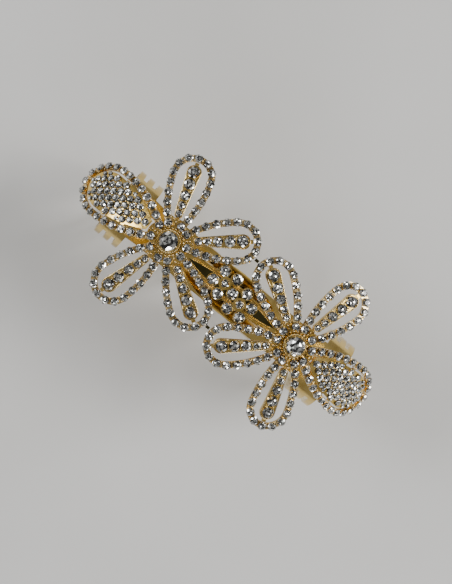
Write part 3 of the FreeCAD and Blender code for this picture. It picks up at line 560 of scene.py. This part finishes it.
def hub_rosette(side, gold):
    """Lobed plate under a flower, one lobe behind each petal's root."""
    plate = Shape()
    count = 120
    rim = []
    for k in range(count):
        angle = 360.0 * k / count
        apart = min(abs((angle - petal + 180.0) % 360.0 - 180.0) for petal in PETAL_ANGLES)
        lobe = math.cos(math.radians(min(apart / LOBE_SPREAD, 1.0) * 90.0)) ** LOBE_SHARPNESS
        rim.append((HUB_NOTCH + (HUB_LOBE - HUB_NOTCH) * lobe, math.radians(angle)))
    points = [(0, 0, HUB_TOP), (0, 0, HUB_TOP - HUB_WALL)]
    for share, level in ((1.0, HUB_TOP - HUB_WALL), (1.0, HUB_TOP - HUB_BEVEL),
                         (HUB_BEVEL_SHARE, HUB_TOP)):
        for reach, turn in rim:
            sag = (reach ** 2) / (2 * OPEN_PETAL["dome"])
            points.append((share * reach * math.cos(turn), share * reach * math.sin(turn),
                           level - sag))
    faces = []
    for k in range(count):
        after = (k + 1) % count
        low, mid, top = 2, 2 + count, 2 + 2 * count
        faces.append([1, low + after, low + k])
        faces.append([low + k, low + after, mid + after, mid + k])
        faces.append([mid + k, mid + after, top + after, top + k])
        faces.append([0, top + k, top + after])
    plate.add(points, faces, hub_matrix(side))
    plate.piece("%s_hub_rosette" % side, gold, PLATE_CREASE, ["%s_hub_plate" % side])


def flower_centre(side, gold, crystal):
    """Centre crystal with its prongs and a ring of beads on the bezel."""
    place = hub_matrix(side)
    setting = Shape()
    stones = Shape()
    seat = place @ Matrix.Translation((0, 0, BEZEL_TOP))
    stones.add(*cut_stone(CENTRE_STONE * CENTRE_SHARE), seat)
    prong_count = 8
    for k in range(prong_count):
        turn = Matrix.Rotation(2 * math.pi * k / prong_count, 4, "Z")
        foot = Matrix.Translation((CENTRE_STONE + CENTRE_PRONG_GAP, 0, CENTRE_PRONG_DROP))
        lean = Matrix.Rotation(math.radians(-CENTRE_PRONG_LEAN), 4, "Y")
        setting.add(*prong_shape(*CENTRE_PRONG), seat @ turn @ foot @ lean)
    bead_count = 40
    for k in range(bead_count):
        turn = Matrix.Rotation(2 * math.pi * (k + 0.5) / bead_count, 4, "Z")
        spot = Matrix.Translation((BEZEL_BEAD_REACH, 0, 0.0))
        setting.add(*bead_shape(BEZEL_BEAD), seat @ turn @ spot)
    for k in range(RING_BEADS):
        turn = Matrix.Rotation(2 * math.pi * k / RING_BEADS, 4, "Z")
        spot = Matrix.Translation((RING_REACH, 0, RING_DROP))
        setting.add(*bead_shape(RING_BEAD), place @ turn @ spot)
    for angle in PETAL_ANGLES:
        for reach, offset, size in ROOT_BEADS:
            turn = Matrix.Rotation(math.radians(angle + offset), 4, "Z")
            spot = Matrix.Translation((reach, 0, ROOT_DROP))
            setting.add(*bead_shape(size), place @ turn @ spot)
    setting.piece("%s_centre_prongs" % side, gold, PRONG_CREASE)
    stones.piece("%s_centre_crystal" % side, crystal, None,
                 ["%s_centre_stone" % side])


# ---------------------------------------------------------------- middle

def cluster_spots():
    """Stone centres of two rosettes that share the middle stone."""
    spots = [(0.0, 0.0, CLUSTER_STONE)]
    for sign in (1, -1):
        lean = math.radians(CLUSTER_TURN)
        centre = (-sign * CLUSTER_REACH * math.cos(lean), -sign * CLUSTER_REACH * math.sin(lean))
        spots.append((centre[0], centre[1], CHAIN_STONE))
        for k in range(1, 5):
            turn = lean + math.radians(72.0 * k)
            spots.append((centre[0] + sign * CLUSTER_REACH * math.cos(turn),
                          centre[1] + sign * CLUSTER_REACH * math.sin(turn), CLUSTER_STONE))
    return spots


def cluster(gold, crystal):
    """Prongs and crystals of the middle cluster, on its CAD cups."""
    prongs = Shape()
    stones = Shape()
    for x, y, radius in cluster_spots():
        here = Matrix.Translation((x, y, CROWN_HEIGHT + CLUSTER_LIFT))
        add_prongs(prongs, here, radius * CLUSTER_PRONG_SHARE, 5, CLUSTER_PRONG,
                   CLUSTER_PRONG_START)
        stones.add(*cut_stone(radius * CLUSTER_SHARE), here)
    prongs.piece("cluster_prongs", gold, PRONG_CREASE)
    stones.piece("cluster_crystals", crystal, None, ["cluster_stones"])


def spine_trim(gold):
    """Milled beads along the lens slit and wires along the outer edges."""
    trim = Shape()
    bend = (LENS_END ** 2 + LENS_HALF ** 2) / (2 * LENS_HALF)

    def station(x, y):
        spot = Vector((x, y, CROWN_HEIGHT - SPINE_ARCH + math.sqrt(SPINE_ARCH ** 2 - x * x)))
        return spot, Vector((x, 0, math.sqrt(SPINE_ARCH ** 2 - x * x))).normalized()

    for sign in (-1, 1):
        wire = []
        for i in range(-30, 31):
            x = TRIM_WIRE_STEP * i
            edge = math.sqrt(bend ** 2 - x * x) - bend + LENS_HALF
            wire.append(station(x, sign * (edge + TRIM_WIRE_GAP)))
        add_wire(trim, wire, TRIM_WIRE, Matrix.Identity(4))
        for i in range(-24, 25):
            x = TRIM_BEAD_STEP * i
            edge = math.sqrt(bend ** 2 - x * x) - bend + LENS_HALF
            spot, normal = station(x, sign * (edge + TRIM_BEAD_GAP))
            trim.add(*bead_shape(TRIM_BEAD), seat_matrix(spot, normal))
    trim.piece("spine_trim", gold, BEAD_CREASE)


# ---------------------------------------------------------------- materials

# The colour sockets of a Mix node
MIX_FIRST = 6
MIX_SECOND = 7
MIX_COLOUR = 2

# Noise scales and depth of a polished metal, and tilt of a crystal's facets
CLOUD_SCALE = 260.0
POLISH_SCALE = 900.0
MARK_SCALE = 2200.0
MARK_DEPTH = 0.00004
FACET_TILT = 0.75


def node_material(name):
    """Empty node material with its main shader."""
    material = bpy.data.materials.new(name)
    material.use_nodes = True
    nodes = material.node_tree.nodes
    return material, nodes, material.node_tree.links, nodes["Principled BSDF"]


def noise(nodes, links, scale, detail):
    """Noise in object space, in units that suit a part in metres."""
    place = nodes.new("ShaderNodeTexCoord")
    texture = nodes.new("ShaderNodeTexNoise")
    texture.inputs["Scale"].default_value = scale
    texture.inputs["Detail"].default_value = detail
    links.new(place.outputs["Object"], texture.inputs["Vector"])
    return texture


def ramp(nodes, links, source, stops):
    """Colour ramp from (position, colour) stops."""
    node = nodes.new("ShaderNodeValToRGB")
    elements = node.color_ramp.elements
    elements[0].position, elements[0].color = stops[0][0], (*stops[0][1], 1.0)
    elements[1].position, elements[1].color = stops[-1][0], (*stops[-1][1], 1.0)
    for position, colour in stops[1:-1]:
        elements.new(position).color = (*colour, 1.0)
    links.new(source, node.inputs["Fac"])
    return node


def metal_material(name, deep, pale, rough_low, rough_high, bump):
    """Polished plated metal: cloudy tone, uneven polish, fine handling marks."""
    material, nodes, links, shader = node_material(name)
    cloud = noise(nodes, links, CLOUD_SCALE, 4.0)
    tone = ramp(nodes, links, cloud.outputs["Fac"], [(0.32, deep), (0.68, pale)])
    links.new(tone.outputs["Color"], shader.inputs["Base Color"])
    polish = noise(nodes, links, POLISH_SCALE, 3.0)
    spread = nodes.new("ShaderNodeMapRange")
    spread.inputs["From Min"].default_value = 0.3
    spread.inputs["From Max"].default_value = 0.7
    spread.inputs["To Min"].default_value = rough_low
    spread.inputs["To Max"].default_value = rough_high
    links.new(polish.outputs["Fac"], spread.inputs["Value"])
    links.new(spread.outputs["Result"], shader.inputs["Roughness"])
    marks = noise(nodes, links, MARK_SCALE, 2.0)
    relief = nodes.new("ShaderNodeBump")
    relief.inputs["Strength"].default_value = bump
    relief.inputs["Distance"].default_value = MARK_DEPTH
    links.new(marks.outputs["Fac"], relief.inputs["Height"])
    links.new(relief.outputs["Normal"], shader.inputs["Normal"])
    shader.inputs["Metallic"].default_value = 1.0
    return material


def painted_reflection_toward_tips(material, pale, from_height, to_height):
    """Painted reflection: blend a metal's tone to a paler one down the claws, between two
    heights, for the pale floor mirrored near the tips.
    """
    nodes, links = material.node_tree.nodes, material.node_tree.links
    shader = nodes["Principled BSDF"]
    tone = shader.inputs["Base Color"].links[0].from_socket
    place = nodes.new("ShaderNodeTexCoord")
    parts = nodes.new("ShaderNodeSeparateXYZ")
    links.new(place.outputs["Object"], parts.inputs["Vector"])
    height = nodes.new("ShaderNodeMapRange")
    height.inputs["From Min"].default_value = from_height
    height.inputs["From Max"].default_value = to_height
    links.new(parts.outputs["Z"], height.inputs["Value"])
    mix = nodes.new("ShaderNodeMix")
    mix.data_type = "RGBA"
    links.new(height.outputs["Result"], mix.inputs["Factor"])
    links.new(tone, mix.inputs[MIX_FIRST])
    mix.inputs[MIX_SECOND].default_value = (*pale, 1.0)
    links.new(mix.outputs[MIX_COLOUR], shader.inputs["Base Color"])


def crystal_material(name):
    """Foil-backed crystal: each facet mirrors with its own tilt, with painted glints on bright
    facets and painted dark reflections on near-black ones.
    """
    material, nodes, links, shader = node_material(name)
    facet = nodes.new("ShaderNodeNewGeometry")
    # Painted reflection: white facet tones are painted glints, near-black ones painted dark
    # reflections
    tone = ramp(nodes, links, facet.outputs["Random Per Island"],
                [(0.0, (0.012, 0.013, 0.012)), (0.36, (0.10, 0.105, 0.10)),
                 (0.60, (0.42, 0.43, 0.41)), (0.84, (0.95, 0.95, 0.93)), (1.0, (1.0, 1.0, 1.0))])
    links.new(tone.outputs["Color"], shader.inputs["Base Color"])
    scatter = nodes.new("ShaderNodeTexWhiteNoise")
    scatter.noise_dimensions = "1D"
    links.new(facet.outputs["Random Per Island"], scatter.inputs["W"])
    centred = nodes.new("ShaderNodeVectorMath")
    centred.operation = "SUBTRACT"
    centred.inputs[1].default_value = (0.5, 0.5, 0.5)
    links.new(scatter.outputs["Color"], centred.inputs[0])
    tilt = nodes.new("ShaderNodeVectorMath")
    tilt.operation = "MULTIPLY_ADD"
    tilt.inputs[1].default_value = (FACET_TILT, FACET_TILT, FACET_TILT)
    links.new(centred.outputs["Vector"], tilt.inputs[0])
    links.new(facet.outputs["Normal"], tilt.inputs[2])
    unit = nodes.new("ShaderNodeVectorMath")
    unit.operation = "NORMALIZE"
    links.new(tilt.outputs["Vector"], unit.inputs[0])
    links.new(unit.outputs["Vector"], shader.inputs["Normal"])
    shader.inputs["Metallic"].default_value = 1.0
    shader.inputs["Roughness"].default_value = 0.06
    shader.inputs["Coat Weight"].default_value = 1.0
    shader.inputs["Coat Roughness"].default_value = 0.03
    shader.inputs["Coat IOR"].default_value = 1.55
    return material


def floor_material():
    """Pale matt surface with a faint cloud."""
    material, nodes, links, shader = node_material("pale_floor")
    cloud = noise(nodes, links, 9.0, 5.0)
    tone = ramp(nodes, links, cloud.outputs["Fac"],
                [(0.3, (0.60, 0.595, 0.58)), (0.7, (0.66, 0.655, 0.645))])
    links.new(tone.outputs["Color"], shader.inputs["Base Color"])
    shader.inputs["Roughness"].default_value = 0.55
    return material


def dress_nodes(material, names):
    """Give carried-over CAD nodes a material."""
    for name in names:
        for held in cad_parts[name].material_slots:
            held.material = material


# ---------------------------------------------------------------- stage

# The camera, in millimetres, and the studio, in metres
CAMERA_SPOT = (-61.4, -5.9, 621.7)
CAMERA_FORWARD = (0.1031, 0.0090, -0.9946)
CAMERA_RIGHT = (0.7659, 0.6373, 0.0852)
CAMERA_LENS = 123.3
CLIP_NEAR = 0.01
CLIP_FAR = 20.0
LIGHT_AIM = (0, 0, 0.03)
FLOOR_REACH = 3.0
FLOOR_DROP = 0.0002
WORLD_COLOUR = (0.86, 0.85, 0.83, 1.0)
WORLD_STRENGTH = 0.32


def camera():
    """Camera above the clip, turned so that the clip runs down to the right."""
    forward = Vector(CAMERA_FORWARD).normalized()
    right = Vector(CAMERA_RIGHT)
    right = (right - forward * right.dot(forward)).normalized()
    up = right.cross(forward)
    data = bpy.data.cameras.new("view")
    data.lens = CAMERA_LENS
    data.clip_start = CLIP_NEAR
    data.clip_end = CLIP_FAR
    held = bpy.data.objects.new("view", data)
    bpy.context.scene.collection.objects.link(held)
    turn = Matrix((right, up, -forward)).transposed().to_4x4()
    held.matrix_world = Matrix.Translation(Vector(CAMERA_SPOT) * MM) @ turn
    bpy.context.scene.camera = held


def softbox(name, spot, width, power, colour=(1.0, 1.0, 1.0)):
    """Square area light aimed at the clip."""
    data = bpy.data.lights.new(name, "AREA")
    data.size = width
    data.energy = power
    data.color = colour
    lamp = bpy.data.objects.new(name, data)
    bpy.context.scene.collection.objects.link(lamp)
    lamp.location = spot
    aim = Vector(LIGHT_AIM) - Vector(spot)
    lamp.rotation_euler = aim.to_track_quat("-Z", "Y").to_euler()


def studio():
    """Floor, dim surroundings and soft lights."""
    reach = FLOOR_REACH
    mesh = bpy.data.meshes.new("floor")
    mesh.from_pydata([(-reach, -reach, 0), (reach, -reach, 0), (reach, reach, 0),
                      (-reach, reach, 0)], [], [[0, 1, 2, 3]])
    mesh.materials.append(floor_material())
    ground = bpy.data.objects.new("floor", mesh)
    bpy.context.scene.collection.objects.link(ground)
    ground.location.z = -FLOOR_DROP
    world = bpy.data.worlds.new("studio")
    world.use_nodes = True
    sky = world.node_tree.nodes["Background"]
    sky.inputs["Color"].default_value = WORLD_COLOUR
    sky.inputs["Strength"].default_value = WORLD_STRENGTH
    bpy.context.scene.world = world
    softbox("key", (0.75, 0.65, 0.85), 0.55, 15.0, (1.0, 0.99, 0.97))
    softbox("fill", (-0.9, -0.2, 0.6), 0.5, 7.0, (0.98, 0.99, 1.0))
    softbox("low_side", (0.7, -0.6, 0.4), 0.4, 4.0)


# ---------------------------------------------------------------- assembly

gold = metal_material("plated_gold", (0.62, 0.41, 0.09), (0.86, 0.62, 0.22), 0.12, 0.28, 0.25)
setting_gold = metal_material("setting_gold", (0.46, 0.33, 0.13), (0.88, 0.72, 0.42),
                              0.14, 0.3, 0.3)
# Painted shade and painted reflection: a near-black gold stands in for the shade in the slit and
# for the dark camera mirrored by the link bars
shade_reflection_gold = metal_material("painted_shade_reflection_gold", (0.07, 0.06, 0.02), (0.13, 0.11, 0.04), 0.08, 0.16, 0.1)
jaw_gold = metal_material("sheet_gold", (0.66, 0.44, 0.10), (0.84, 0.62, 0.22), 0.10, 0.24, 0.2)
# Painted reflection: the claws turn pale toward their tips, where they mirror the pale floor
painted_reflection_toward_tips(jaw_gold, (0.88, 0.76, 0.50), 0.031, 0.014)
steel = metal_material("spring_wire", (0.09, 0.085, 0.08), (0.17, 0.163, 0.155), 0.18, 0.34, 0.3)
crystal = crystal_material("crystal")

for side in ("left", "right"):
    for number, angle in enumerate(PETAL_ANGLES, start=1):
        place = petal_matrix(side, angle)
        label = "%s_petal_%d" % (side, number)
        petal = WIDE_PETAL if number == 1 else OPEN_PETAL
        chain(label, petal, place, setting_gold, crystal)
        if number == 1:
            paving(side, place, setting_gold, crystal)
        else:
            drop(label, place, setting_gold, crystal)
    hub_rosette(side, gold)
    flower_centre(side, setting_gold, crystal)
cluster(setting_gold, crystal)
spine_trim(gold)

spring_nodes = ["spring_coil", "spring_leg", "hinge_pin"]
jaw_nodes = ["front_jaw", "rear_jaw", "left_bracket", "right_bracket"]
plain_nodes = [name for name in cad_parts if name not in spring_nodes + jaw_nodes]
dress_nodes(gold, plain_nodes)
# The slit plate and link bars get the near-black gold: painted shade in the slit, painted dark
# reflection on the bars
dress_nodes(shade_reflection_gold, ["slit_plate", "link_bar_1", "link_bar_2"])
dress_nodes(jaw_gold, jaw_nodes)
dress_nodes(steel, spring_nodes)

studio()
camera()
